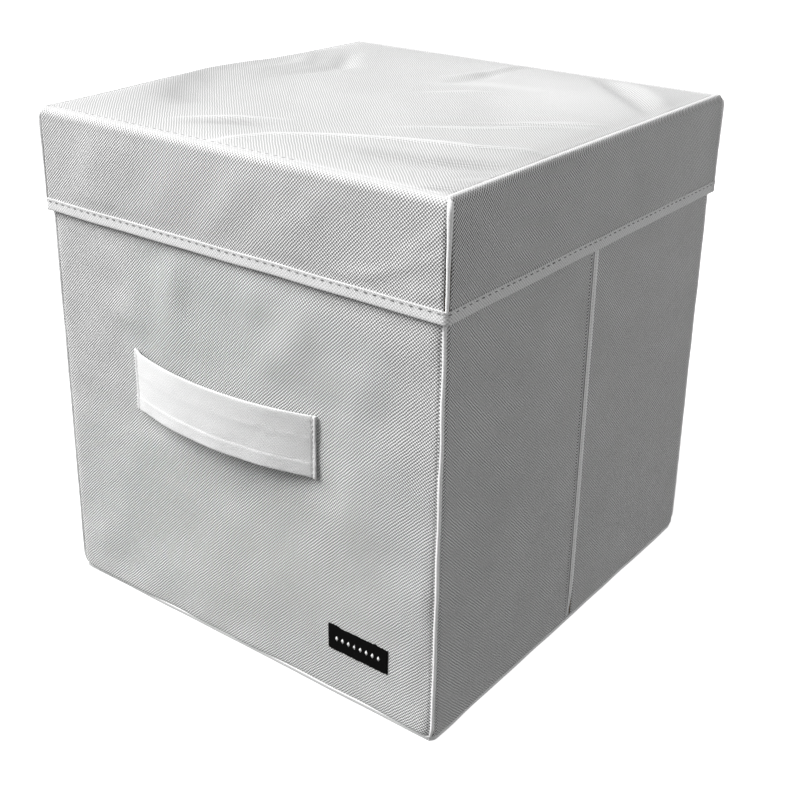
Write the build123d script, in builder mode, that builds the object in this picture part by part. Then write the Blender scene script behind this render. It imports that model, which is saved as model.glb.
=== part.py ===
"""Foldable lidded storage bin: fabric skins over cardboard walls, with a lift-off lid.

Millimetres, +Z up. The origin is the centre of the base, on the surface it stands on.
The front, with the handle and the tag, faces -Y, and the right side faces +X.
The side walls fold inwards at their middle, so the front wall comes to lie against the back.
"""

from build123d import *
import os

# Whole bin
WIDTH = 300.0
DEPTH = 306.0
RIM_HEIGHT = 321.0
LID_TOP = 324.5

# Layers of a wall, from the outside in
FABRIC = 0.5
BOARD = 2.0
WALL = FABRIC + BOARD + FABRIC
WALL_BOTTOM = 4.6
BINDING_HEIGHT = 8.0

# Corners: the cord lies in a cut-off corner, and short returns carry the hinge lines
PIPING_RADIUS = 1.25
PIPING_INSET = 1.0
CORNER_CUT = 3.8
RETURN_DEPTH = 7.0
HINGE_GAP = 0.3
BOARD_INSET = 4.6

# Middle seam of each side wall
SEAM_PIPING_RADIUS = 1.0
SEAM_PIPING_INSET = 0.75
SEAM_PIPING_OFFSET = 1.25
SEAM_CLEARANCE = 2.4

# Base: a soft tray sewn to the walls, and a loose stiff insert on it
TRAY_FABRIC = 0.6
TRAY_HEIGHT = 4.3
TRAY_CORNER_RADIUS = 3.0
INSERT_WIDTH = 292.0
INSERT_REAR = 149.6
INSERT_FRONT = -149.4
INSERT_BOTTOM = 0.9
INSERT_THICKNESS = 3.0
INSERT_COVER = 0.4

# Handle strap and tag on the front wall
STRAP_LEFT = -80.0
STRAP_RIGHT = 65.5
STRAP_BOTTOM = 144.5
STRAP_HEIGHT = 38.5
STRAP_THICKNESS = 1.6
STRAP_TAB = 5.0
STRAP_BOW = 12.0
TAG_CENTRE_X = 95.5
TAG_BOTTOM = 33.5
TAG_WIDTH = 44.0
TAG_HEIGHT = 16.5
TAG_THICKNESS = 0.6
TAG_CORNER_RADIUS = 0.8

# Lid: a stiff top with a hanging skirt, bound along its lower edge
LID_BOTTOM = 259.5
LID_PLAY = 0.6
SKIRT_LINING = 0.4
SKIRT_BOARD = 1.5
SKIRT_WALL = SKIRT_LINING + SKIRT_BOARD + FABRIC
LID_BOARD = 2.0
LID_LAYER_GAP = 0.05
LID_PIPING_RADIUS = 1.75
LID_PIPING_INSET = 1.2
LID_CORNER_GAP = 0.15
HEM_TAPE = 0.4
LID_BOARD_INSET = 4.0
LID_BOARD_CORNER_CUT = 3.0

HALF_WIDTH = WIDTH / 2
HALF_DEPTH = DEPTH / 2
HINGE_Y = HALF_DEPTH - RETURN_DEPTH
BINDING_BOTTOM = RIM_HEIGHT - BINDING_HEIGHT
BOARD_TOP = RIM_HEIGHT - FABRIC
INNER_X = HALF_WIDTH - WALL
INNER_Y = HALF_DEPTH - WALL
LID_INNER_X = HALF_WIDTH + LID_PLAY
LID_INNER_Y = HALF_DEPTH + LID_PLAY
LID_OUTER_X = LID_INNER_X + SKIRT_WALL
LID_OUTER_Y = LID_INNER_Y + SKIRT_WALL
LID_HEM_TOP = LID_BOTTOM + BINDING_HEIGHT
LID_BOARD_TOP = LID_TOP - FABRIC - LID_LAYER_GAP
LID_LINING_TOP = LID_BOARD_TOP - LID_BOARD - LID_LAYER_GAP


def finish(piece, node):
    """Label a finished piece and write it as its own STEP file."""
    piece.part.label = node
    export_step(piece.part, f"parts/{node}.step")


def block(node, x_range, y_range, z_range):
    """A flat layer or board that fills the given ranges."""
    with BuildPart() as layer:
        with BuildSketch(Plane.XY.offset(z_range[0])):
            with Locations((sum(x_range) / 2, sum(y_range) / 2)):
                Rectangle(x_range[1] - x_range[0], y_range[1] - y_range[0])
        extrude(amount=z_range[1] - z_range[0])
    finish(layer, node)


def mirrored(side, low, high):
    """The range from low to high, on the positive or the negative side."""
    return (low, high) if side > 0 else (-high, -low)


def upright_cord(node, x, y, radius, z_range):
    """A straight covered cord that stands in a seam."""
    with BuildPart() as cord:
        with BuildSketch(Plane.XY.offset(z_range[0])):
            with Locations((x, y)):
                Circle(radius)
        extrude(amount=z_range[1] - z_range[0])
    finish(cord, node)


def rim_binding(node, x_range, y_range, slot_x, slot_y):
    """A tape folded over the top edge of a wall, with a slot for the board."""
    with BuildPart() as binding:
        with BuildSketch(Plane.XY.offset(BINDING_BOTTOM)):
            with Locations((sum(x_range) / 2, sum(y_range) / 2)):
                Rectangle(x_range[1] - x_range[0], y_range[1] - y_range[0])
        extrude(amount=BINDING_HEIGHT)
        with BuildSketch(Plane.XY.offset(BINDING_BOTTOM)):
            with Locations((sum(slot_x) / 2, sum(slot_y) / 2)):
                Rectangle(slot_x[1] - slot_x[0], slot_y[1] - slot_y[0])
        extrude(amount=BOARD_TOP - BINDING_BOTTOM, mode=Mode.SUBTRACT)
    finish(binding, node)


def wall_channel(node, facing, outer_x, outer_y, cut):
    """The fabric layer of a front or back wall, with a short return at each side.

    Its main face leaves the top strip between the returns free for the rim binding.
    """
    end_y = HINGE_Y + HINGE_GAP / 2
    height = RIM_HEIGHT - WALL_BOTTOM
    inner_cut = cut - FABRIC * (2 - 2**0.5)
    with BuildPart() as channel:
        with BuildSketch(Plane.XY.offset(WALL_BOTTOM)) as outline:
            with Locations((0, facing * (outer_y + end_y) / 2)):
                Rectangle(2 * outer_x, outer_y - end_y)
            if cut:
                chamfer(outline.vertices().sort_by(Axis.Y)[::facing][-2:], length=cut)
        extrude(amount=height)
        with BuildSketch(Plane.XY.offset(WALL_BOTTOM)) as hollow:
            with Locations((0, facing * (outer_y - FABRIC + end_y) / 2)):
                Rectangle(2 * (outer_x - FABRIC), outer_y - FABRIC - end_y)
            if cut:
                chamfer(hollow.vertices().sort_by(Axis.Y)[::facing][-2:], length=inner_cut)
        extrude(amount=height, mode=Mode.SUBTRACT)
        with BuildSketch(Plane.XY.offset(BINDING_BOTTOM)):
            with Locations((0, facing * (outer_y - FABRIC / 2))):
                Rectangle(2 * (HALF_WIDTH - BOARD_INSET), FABRIC)
        extrude(amount=BINDING_HEIGHT, mode=Mode.SUBTRACT)
    finish(channel, node)


def end_wall(name, facing):
    """The front wall (facing -1) or the back wall (facing 1), with its two corner cords."""
    board_x = (BOARD_INSET - HALF_WIDTH, HALF_WIDTH - BOARD_INSET)
    board_y = mirrored(facing, INNER_Y + FABRIC, HALF_DEPTH - FABRIC)
    wall_y = mirrored(facing, INNER_Y, HALF_DEPTH)
    wall_channel(f"{name}_fabric", facing, HALF_WIDTH, HALF_DEPTH, CORNER_CUT)
    wall_channel(f"{name}_lining", facing, INNER_X + FABRIC, INNER_Y + FABRIC, 0)
    block(f"{name}_board", board_x, board_y, (WALL_BOTTOM, BOARD_TOP))
    rim_binding(f"{name}_rim_binding", board_x, wall_y, board_x, board_y)
    for side_name, side in (("left", -1), ("right", 1)):
        upright_cord(
            f"{name}_{side_name}_corner_piping",
            side * (HALF_WIDTH - PIPING_INSET),
            facing * (HALF_DEPTH - PIPING_INSET),
            PIPING_RADIUS,
            (WALL_BOTTOM, RIM_HEIGHT),
        )


def side_half(name, side, facing, seam_end):
    """One half of a side wall, from its corner hinge line to the middle seam.

    The outer fabric stops seam_end short of the middle, which leaves room for the seam cord.
    """
    corner_end = HINGE_Y - HINGE_GAP / 2
    y_range = mirrored(facing, HINGE_GAP / 2, corner_end)
    skin_y = mirrored(facing, seam_end, corner_end)
    board_x = mirrored(side, INNER_X + FABRIC, HALF_WIDTH - FABRIC)
    block(
        f"{name}_fabric",
        mirrored(side, HALF_WIDTH - FABRIC, HALF_WIDTH),
        skin_y,
        (WALL_BOTTOM, BINDING_BOTTOM),
    )
    block(f"{name}_board", board_x, skin_y, (WALL_BOTTOM, BOARD_TOP))
    block(
        f"{name}_lining",
        mirrored(side, INNER_X, INNER_X + FABRIC),
        y_range,
        (WALL_BOTTOM, BINDING_BOTTOM),
    )
    rim_binding(
        f"{name}_rim_binding",
        mirrored(side, INNER_X, HALF_WIDTH),
        skin_y,
        board_x,
        skin_y,
    )


def side_wall(name, side):
    """A side wall in two halves, with the cord that covers the middle seam."""
    side_half(f"{name}_rear", side, 1, SEAM_CLEARANCE)
    side_half(f"{name}_front", side, -1, HINGE_GAP / 2)
    upright_cord(
        f"{name}_seam_piping",
        side * (HALF_WIDTH - SEAM_PIPING_INSET),
        SEAM_PIPING_OFFSET,
        SEAM_PIPING_RADIUS,
        (WALL_BOTTOM, RIM_HEIGHT),
    )


def base_tray():
    """The soft base, which turns up round the bottom edge to the seam under the walls."""
    with BuildPart() as tray:
        with BuildSketch() as outline:
            Rectangle(WIDTH, DEPTH)
            fillet(outline.vertices(), radius=TRAY_CORNER_RADIUS)
        extrude(amount=TRAY_HEIGHT)
        with BuildSketch(Plane.XY.offset(TRAY_FABRIC)) as inside:
            Rectangle(WIDTH - 2 * TRAY_FABRIC, DEPTH - 2 * TRAY_FABRIC)
            fillet(inside.vertices(), radius=TRAY_CORNER_RADIUS - TRAY_FABRIC)
        extrude(amount=TRAY_HEIGHT, mode=Mode.SUBTRACT)
    finish(tray, "base_fabric")


def base_insert():
    """The stiff base: a board in a fabric sleeve, with a round rear edge that it tips up on."""
    radius = INSERT_THICKNESS / 2
    middle_z = INSERT_BOTTOM + radius
    sleeve_plane = Plane.YZ.offset(-INSERT_WIDTH / 2)
    board_thickness = INSERT_THICKNESS - 2 * INSERT_COVER
    board_front = INSERT_FRONT + INSERT_COVER
    board_rear = INSERT_REAR - radius
    with BuildPart() as sleeve:
        with BuildSketch(sleeve_plane) as section:
            with Locations(((INSERT_FRONT + INSERT_REAR) / 2, middle_z)):
                Rectangle(INSERT_REAR - INSERT_FRONT, INSERT_THICKNESS)
            fillet(section.vertices().group_by(Axis.Y)[-1], radius=radius - 0.01)
        extrude(amount=INSERT_WIDTH)
        with BuildSketch(sleeve_plane):
            with Locations(((board_front + board_rear) / 2, middle_z)):
                Rectangle(board_rear - board_front, board_thickness)
        extrude(amount=INSERT_WIDTH, mode=Mode.SUBTRACT)
    finish(sleeve, "base_insert_cover")
    block(
        "base_insert_board",
        (-INSERT_WIDTH / 2, INSERT_WIDTH / 2),
        (board_front, board_rear),
        (middle_z - board_thickness / 2, middle_z + board_thickness / 2),
    )


def handle_strap():
    """A flat strap sewn to the front wall at both ends, bowed out for the fingers."""
    face_y = -HALF_DEPTH
    middle_x = (STRAP_LEFT + STRAP_RIGHT) / 2
    inner = (STRAP_LEFT + STRAP_TAB, STRAP_RIGHT - STRAP_TAB)
    outer_y = face_y - STRAP_THICKNESS
    with BuildPart() as strap:
        with BuildSketch(Plane.XY.offset(STRAP_BOTTOM)):
            with BuildLine():
                Polyline(
                    (inner[0], face_y),
                    (STRAP_LEFT, face_y),
                    (STRAP_LEFT, outer_y),
                    (inner[0], outer_y),
                )
                ThreePointArc((inner[0], outer_y), (middle_x, outer_y - STRAP_BOW), (inner[1], outer_y))
                Polyline(
                    (inner[1], outer_y),
                    (STRAP_RIGHT, outer_y),
                    (STRAP_RIGHT, face_y),
                    (inner[1], face_y),
                )
                ThreePointArc((inner[1], face_y), (middle_x, face_y - STRAP_BOW), (inner[0], face_y))
            make_face()
        extrude(amount=STRAP_HEIGHT)
    finish(strap, "handle_strap")


def front_tag():
    """A small woven tag sewn flat on the front wall, low down at the right."""
    with BuildPart() as tag:
        with BuildSketch(Plane.XZ.offset(HALF_DEPTH)) as outline:
            with Locations((TAG_CENTRE_X, TAG_BOTTOM + TAG_HEIGHT / 2)):
                Rectangle(TAG_WIDTH, TAG_HEIGHT)
            fillet(outline.vertices(), radius=TAG_CORNER_RADIUS)
        extrude(amount=TAG_THICKNESS)
    finish(tag, "front_tag")


def lid_top():
    """The flat layers of the lid's top: outer fabric, board and lining."""
    with BuildPart() as top_fabric:
        with BuildSketch(Plane.XY.offset(LID_TOP - FABRIC)) as outline:
            Rectangle(2 * LID_OUTER_X, 2 * LID_OUTER_Y)
            fillet(outline.vertices(), radius=LID_PIPING_RADIUS)
        extrude(amount=FABRIC)
    finish(top_fabric, "lid_top_fabric")
    for node, low, high in (
        ("lid_top_board", LID_BOARD_TOP - LID_BOARD, LID_BOARD_TOP),
        ("lid_top_lining", LID_LINING_TOP - SKIRT_LINING, LID_LINING_TOP),
    ):
        with BuildPart() as layer:
            with BuildSketch(Plane.XY.offset(low)) as outline:
                Rectangle(
                    2 * (LID_OUTER_X - LID_BOARD_INSET),
                    2 * (LID_OUTER_Y - LID_BOARD_INSET),
                )
                chamfer(outline.vertices(), length=LID_BOARD_CORNER_CUT)
            extrude(amount=high - low)
        finish(layer, node)


def lid_skirt():
    """The four hanging panels, each of outer fabric, board and lining."""
    skirt_top = LID_LINING_TOP - SKIRT_LINING - LID_LAYER_GAP
    board_far = SKIRT_LINING + SKIRT_BOARD
    layers = (
        ("fabric", board_far, SKIRT_WALL, LID_BOTTOM + HEM_TAPE, LID_BOARD_TOP),
        ("board", SKIRT_LINING, board_far, LID_BOTTOM + HEM_TAPE, skirt_top),
        ("lining", 0, SKIRT_LINING, LID_HEM_TOP, skirt_top),
    )
    end_inset = LID_PIPING_INSET + LID_PIPING_RADIUS + LID_CORNER_GAP
    end_x = LID_OUTER_X - end_inset
    end_y = LID_OUTER_Y - end_inset
    for layer_name, near, far, low, high in layers:
        for name, facing in (("front", -1), ("back", 1)):
            y_range = mirrored(facing, LID_INNER_Y + near, LID_INNER_Y + far)
            block(f"lid_{name}_skirt_{layer_name}", (-end_x, end_x), y_range, (low, high))
        for name, side in (("left", -1), ("right", 1)):
            x_range = mirrored(side, LID_INNER_X + near, LID_INNER_X + far)
            block(f"lid_{name}_skirt_{layer_name}", x_range, (-end_y, end_y), (low, high))


def lid_pipings():
    """The cords that stand in the four corners of the lid, above the hem tape."""
    for depth_name, facing in (("front", -1), ("rear", 1)):
        for side_name, side in (("left", -1), ("right", 1)):
            upright_cord(
                f"lid_{depth_name}_{side_name}_piping",
                side * (LID_OUTER_X - LID_PIPING_INSET),
                facing * (LID_OUTER_Y - LID_PIPING_INSET),
                LID_PIPING_RADIUS,
                (LID_HEM_TOP, LID_TOP - FABRIC),
            )


def lid_hem():
    """The tape folded round the skirt's lower edge, which goes all the way round the lid."""
    slot_x = LID_OUTER_X + LID_LAYER_GAP
    slot_y = LID_OUTER_Y + LID_LAYER_GAP
    with BuildPart() as hem:
        with BuildSketch(Plane.XY.offset(LID_BOTTOM)):
            Rectangle(2 * (slot_x + HEM_TAPE), 2 * (slot_y + HEM_TAPE))
            Rectangle(2 * LID_INNER_X, 2 * LID_INNER_Y, mode=Mode.SUBTRACT)
        extrude(amount=BINDING_HEIGHT)
        with BuildSketch(Plane.XY.offset(LID_BOTTOM + HEM_TAPE)):
            Rectangle(2 * slot_x, 2 * slot_y)
            Rectangle(
                2 * (LID_INNER_X + SKIRT_LINING),
                2 * (LID_INNER_Y + SKIRT_LINING),
                mode=Mode.SUBTRACT,
            )
        extrude(amount=BINDING_HEIGHT, mode=Mode.SUBTRACT)
    finish(hem, "lid_hem_binding")


os.makedirs("parts", exist_ok=True)
end_wall("front", -1)
end_wall("back", 1)
side_wall("left", -1)
side_wall("right", 1)
base_tray()
base_insert()
handle_strap()
front_tag()
lid_top()
lid_skirt()
lid_pipings()
lid_hem()
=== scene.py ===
"""The looks of the lidded fabric storage bin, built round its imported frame.

Meshes are worked out in millimetres and written in metres. The front faces -Y, the right side +X.
Every piece of cloth is a closed thin shell. Its "cloth" attribute holds the millimetres along and
up the fabric, so that the embossed ribs follow the cloth round folds and through poses.
"""

import math
from collections import namedtuple

import bmesh
import bpy
import numpy as np
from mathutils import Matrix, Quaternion, Vector

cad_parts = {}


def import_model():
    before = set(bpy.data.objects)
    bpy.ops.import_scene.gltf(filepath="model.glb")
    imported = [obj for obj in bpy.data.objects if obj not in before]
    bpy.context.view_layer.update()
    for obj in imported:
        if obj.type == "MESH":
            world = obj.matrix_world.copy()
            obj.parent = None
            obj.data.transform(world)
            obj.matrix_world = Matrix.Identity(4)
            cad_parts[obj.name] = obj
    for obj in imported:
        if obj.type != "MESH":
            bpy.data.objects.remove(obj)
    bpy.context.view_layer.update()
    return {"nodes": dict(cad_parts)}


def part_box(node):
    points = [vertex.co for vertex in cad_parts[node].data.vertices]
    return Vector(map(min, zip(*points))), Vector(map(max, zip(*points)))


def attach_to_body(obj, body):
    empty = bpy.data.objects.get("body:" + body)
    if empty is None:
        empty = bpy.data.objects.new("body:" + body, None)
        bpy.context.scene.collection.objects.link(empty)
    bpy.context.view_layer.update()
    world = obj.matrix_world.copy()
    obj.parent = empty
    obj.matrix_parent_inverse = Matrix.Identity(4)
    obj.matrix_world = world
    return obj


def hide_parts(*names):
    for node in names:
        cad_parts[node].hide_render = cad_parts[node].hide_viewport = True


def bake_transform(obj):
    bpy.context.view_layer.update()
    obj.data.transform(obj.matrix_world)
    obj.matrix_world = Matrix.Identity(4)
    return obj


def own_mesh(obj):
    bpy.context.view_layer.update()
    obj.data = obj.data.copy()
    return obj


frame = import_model()

MM = 0.001


def cad(node):
    """The lowest and highest corner of a CAD node, in millimetres."""
    low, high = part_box(node)
    return np.array(low) / MM, np.array(high) / MM


# Sizes read from the frame.

WALL_LOW, WALL_HIGH = cad("front_fabric")
HALF_X = WALL_HIGH[0]
HALF_Y = -WALL_LOW[1]
WALL_BOTTOM = WALL_LOW[2]
RIM = WALL_HIGH[2]
INNER_X = cad("right_front_lining")[0][0]
INNER_Y = -cad("front_lining")[0][1] - 0.5
TAPE_BOTTOM = cad("front_rim_binding")[0][2]
HINGE_Y = -cad("right_front_fabric")[0][1] + 0.15
CORD_X, CORD_Y = (sum(c) / 2 for c in list(zip(*cad("back_right_corner_piping")))[:2])
SEAM_Y = sum(c[1] for c in cad("right_seam_piping")) / 2
LID_LOW, LID_HIGH = cad("lid_hem_binding")
LID_X, LID_Y = cad("lid_top_fabric")[1][:2]
LID_TOP = cad("lid_top_fabric")[1][2]
HEM_BOTTOM, HEM_TOP = LID_LOW[2], LID_HIGH[2]
LID_CORD_X, LID_CORD_Y = (sum(c) / 2 for c in list(zip(*cad("lid_rear_right_piping")))[:2])
STRAP_LOW, STRAP_HIGH = cad("handle_strap")
TAG_LOW, TAG_HIGH = cad("front_tag")
INSERT_LOW, INSERT_HIGH = cad("base_insert_cover")
TRAY_TOP = cad("base_fabric")[1][2]

FABRIC = 0.45
TAPE = 0.4
SLEEVE = 0.36
STITCH_PITCH = 5.8
SIDES = (("left", -1), ("right", 1))

# Placing and meshing.

Side = namedtuple("Side", "origin right up out lean")
UP = (0, 0, 1)
FRONT = Side((0, -HALF_Y, 0), (1, 0, 0), UP, (0, -1, 0), 1)
RIGHT = Side((HALF_X, 0, 0), (0, 1, 0), UP, (1, 0, 0), -1)
BACK = Side((0, HALF_Y, 0), (-1, 0, 0), UP, (0, 1, 0), 1)
LEFT = Side((-HALF_X, 0, 0), (0, -1, 0), UP, (-1, 0, 0), -1)
LID_FRONT = FRONT._replace(origin=(0, -LID_Y, 0))
LID_RIGHT = RIGHT._replace(origin=(LID_X, 0, 0))
LID_BACK = BACK._replace(origin=(0, LID_Y, 0))
LID_LEFT = LEFT._replace(origin=(-LID_X, 0, 0))


def place(side, u, v, lift):
    """Points u along and v up a side, lifted out of its plane."""
    u, v, lift = np.broadcast_arrays(u, v, lift)
    return (
        np.array(side.origin, float)
        + u[..., None] * np.array(side.right, float)
        + v[..., None] * np.array(side.up, float)
        + lift[..., None] * np.array(side.out, float)
    )


def spaced(low, high, step, fine=0.5, margin=3.0):
    """Positions from low to high, close together near both ends."""
    ends = np.arange(0, margin, fine)
    count = max(2, int(round((high - low - 2 * margin) / step)) + 1)
    middle = np.linspace(low + margin, high - margin, count)
    return np.concatenate([low + ends, middle, (high - ends)[::-1]])


def soft_noise(x, y, size, seed):
    """Smooth random waves, roughly size apart, mostly from -1 to 1."""
    rng = np.random.default_rng(seed)
    total = np.zeros(np.broadcast(x, y).shape)
    for _ in range(9):
        angle, phase = rng.uniform(0, 2 * math.pi, 2)
        k = 2 * math.pi / (size * rng.uniform(0.75, 1.5))
        total += np.sin(k * (x * math.cos(angle) + y * math.sin(angle)) + phase)
    return total / 3.2


def bump(x, centre, width):
    return np.exp(-(((x - centre) / width) ** 2))


def grid(us, vs):
    return np.meshgrid(us, vs, indexing="ij")


def distances(*steps):
    """How far along a line each of its points lies, from the differences between them."""
    return np.concatenate([[0], np.cumsum(np.sqrt(sum(step**2 for step in steps)))])


def waver(z, size, seed):
    """Smooth random waves along one line."""
    return soft_noise(z, z * 0, size, seed)


def between(at, along, points):
    """The plan point at a distance along a line of points."""
    return np.array([np.interp(at, along, points[:, i]) for i in (0, 1)])


def ridge(x, y, line, height, width):
    """A soft fold that rises along a line and fades at both ends."""
    line = np.array(line, float)
    lengths = np.linalg.norm(np.diff(line, axis=0), axis=1)
    starts = distances(lengths)
    best, share = np.full(np.shape(x), 1e9), np.zeros(np.shape(x))
    for a, b, length, start in zip(line[:-1], line[1:], lengths, starts):
        t = np.clip(((x - a[0]) * (b[0] - a[0]) + (y - a[1]) * (b[1] - a[1])) / length**2, 0, 1)
        d = np.hypot(x - a[0] - t * (b[0] - a[0]), y - a[1] - t * (b[1] - a[1]))
        nearer = d < best
        best = np.where(nearer, d, best)
        share = np.where(nearer, (start + t * length) / starts[-1], share)
    return height * np.exp(-((best / width) ** 2)) * np.sin(math.pi * np.clip(share, 0.03, 0.97)) ** 0.6


def folded(x, y, folds):
    """The sum of several ridges, given as (line, height, width)."""
    return sum(ridge(x, y, *fold) for fold in folds)


def new_object(name, data):
    made = bpy.data.objects.new(name, data)
    bpy.context.scene.collection.objects.link(made)
    return made


def add_mesh(name, points, faces, cloth, material):
    """A smooth-shaded mesh object with outward normals and the cloth attribute."""
    mesh = bpy.data.meshes.new(name)
    mesh.from_pydata((np.asarray(points) * MM).tolist(), [], faces)
    attribute = mesh.attributes.new("cloth", "FLOAT_VECTOR", "POINT")
    attribute.data.foreach_set("vector", np.asarray(cloth, np.float32).ravel())
    made = bmesh.new()
    made.from_mesh(mesh)
    bmesh.ops.recalc_face_normals(made, faces=made.faces)
    made.to_mesh(mesh)
    made.free()
    mesh.shade_smooth()
    mesh.materials.append(material)
    return new_object(name, mesh)


def shell(name, outer, inner, cloth_u, cloth_v, material, ring=False, cap=False, smooth=0.0):
    """A closed thin shell between two matching point grids.

    A ring closes on itself along its rows. A cap fills the last column of each layer. The share
    smooth says where the cloth is pulled so tight that its embossing fades and its tone pales; on the
    lid's top it also carries painted highlights and painted shade along the creases.
    """
    rows, cols = outer.shape[:2]
    layer = rows * cols

    def at(i, j, side=0):
        return side * layer + (i % rows) * cols + j

    faces = []
    last = cols - 1
    for i in range(rows if ring else rows - 1):
        for j in range(last):
            faces.append((at(i, j), at(i + 1, j), at(i + 1, j + 1), at(i, j + 1)))
            faces.append((at(i, j, 1), at(i, j + 1, 1), at(i + 1, j + 1, 1), at(i + 1, j, 1)))
        faces.append((at(i, 0), at(i, 0, 1), at(i + 1, 0, 1), at(i + 1, 0)))
        if not cap:
            faces.append((at(i, last), at(i + 1, last), at(i + 1, last, 1), at(i, last, 1)))
    if cap:
        faces.append([at(i, last) for i in range(rows)])
        faces.append([at(i, last, 1) for i in reversed(range(rows))])
    if not ring:
        end = rows - 1
        for j in range(last):
            faces.append((at(0, j), at(0, j + 1), at(0, j + 1, 1), at(0, j, 1)))
            faces.append((at(end, j), at(end, j, 1), at(end, j + 1, 1), at(end, j + 1)))
    points = np.concatenate([outer.reshape(-1, 3), inner.reshape(-1, 3)])
    flat = np.stack(np.broadcast_arrays(cloth_u, cloth_v, smooth), -1).reshape(-1, 3)
    return add_mesh(name, points, faces, np.concatenate([flat, flat]), material)


def tube(path, radii, sides, first=0):
    """Points, faces and cloth millimetres of a closed tube, whose rings don't twist."""
    count = len(path)
    tangents = np.gradient(path, axis=0)
    tangents /= np.linalg.norm(tangents, axis=1)[:, None]
    across = np.cross(tangents[0], (1, 0, 0) if abs(tangents[0][0]) < 0.8 else (0, 1, 0))
    angles = np.linspace(0, 2 * math.pi, sides, endpoint=False)[:, None]
    rings = []
    for point, tangent, radius in zip(path, tangents, np.broadcast_to(radii, count)):
        across = across - tangent * (across @ tangent)
        across /= np.linalg.norm(across)
        spokes = np.cos(angles) * across + np.sin(angles) * np.cross(tangent, across)
        rings.append(point + radius * spokes)
    last = first + (count - 1) * sides
    faces = [list(range(first + sides - 1, first - 1, -1)), list(range(last, last + sides))]
    for start in range(first, last, sides):
        for j in range(sides):
            k = (j + 1) % sides
            faces.append((start + j, start + k, start + sides + k, start + sides + j))
    along = distances(*np.diff(path, axis=0).T)[:, None]
    cloth = np.stack(np.broadcast_arrays(np.arange(sides) * 0.9, along, 0.0), -1)
    return np.concatenate(rings), faces, cloth.reshape(-1, 3)


def put(piece, body):
    """Fixes a piece to a body."""
    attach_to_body(piece, body)


def cord(name, body, x, y, z, radii, material, sides=16, node=None):
    """A round cord through the given points, fixed to a body, which may stand for a CAD node."""
    path = np.stack(np.broadcast_arrays(x, y, z), -1)
    points, faces, cloth = tube(path, radii, sides)
    piece = add_mesh(name, points, faces, cloth, material)
    put(piece, body)
    if node:
        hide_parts(node)


def stitches(name, row, material, length=2.6, radius=0.34, sink=0.12):
    """Short threads that dive in at both ends; row holds the place, direction and normal of each."""
    points, faces, cloth = [], [], []
    count = 0
    for place_at, along, out in row:
        t = np.linspace(-1, 1, 7)[:, None]
        dip = -sink - 0.9 * radius * t**4
        path = np.array(place_at) + np.array(along) * t * length / 2 + np.array(out) * dip
        radii = radius * np.sqrt(np.clip(1.06 - t[:, 0] ** 6, 0.08, 1))
        p, f, c = tube(path, radii, 6, count)
        points.append(p)
        faces += f
        cloth.append(c)
        count += len(p)
    return add_mesh(name, np.concatenate(points), faces, np.concatenate(cloth), material)


# Materials.

RIBS_PER_MM = 0.485


class Shader:
    """A small wrapper that builds one material's nodes."""

    def __init__(self, name):
        self.material = bpy.data.materials.new(name)
        self.material.use_nodes = True
        self.tree = self.material.node_tree
        self.bsdf = self.tree.nodes["Principled BSDF"]

    def add(self, kind, links=(), **values):
        """A node with its settings; links are (input, value or socket) pairs."""
        node = self.tree.nodes.new(kind)
        for key, value in values.items():
            setattr(node, key, value)
        for key, value in dict(links).items():
            self.feed(node.inputs[key], value)
        return node

    def feed(self, socket, value):
        if isinstance(value, bpy.types.NodeSocket):
            self.tree.links.new(value, socket)
        else:
            socket.default_value = value

    def math(self, operation, a, b=0.0, clamp=False):
        return self.add("ShaderNodeMath", {0: a, 1: b}, operation=operation, use_clamp=clamp).outputs[0]

    def noise(self, place_at, scale, detail=2.0, rough=0.5):
        links = {"Vector": place_at, "Scale": scale, "Detail": detail, "Roughness": rough}
        return self.add("ShaderNodeTexNoise", links).outputs["Fac"]

    def cloth(self):
        return self.add("ShaderNodeAttribute", attribute_name="cloth").outputs["Vector"]

    def waves(self, place_at, direction):
        """A sine of the distance along a direction, in radians per millimetre."""
        dot = self.add("ShaderNodeVectorMath", {0: place_at, 1: direction}, operation="DOT_PRODUCT")
        return self.math("SINE", dot.outputs["Value"])

    def mix(self, share, a, b, blend="MIX"):
        node = self.add("ShaderNodeMix", data_type="RGBA", blend_type=blend)
        for socket, value in zip((node.inputs[0], node.inputs[6], node.inputs[7]), (share, a, b)):
            self.feed(socket, value)
        return node.outputs[2]

    def finish(self, colour, height, depth, roughness, sheen=0.0, specular=0.3):
        links = {"Height": height, "Distance": depth * MM, "Strength": 1.0}
        relief = self.add("ShaderNodeBump", links).outputs["Normal"]
        for key, value in (
            ("Base Color", colour),
            ("Normal", relief),
            ("Roughness", roughness),
            ("Sheen Weight", sheen),
            ("Sheen Roughness", 0.5),
            ("Specular IOR Level", specular),
        ):
            self.feed(self.bsdf.inputs[key], value)
        return self.material


def grey(level):
    return (level, level, level, 1.0)


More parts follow.
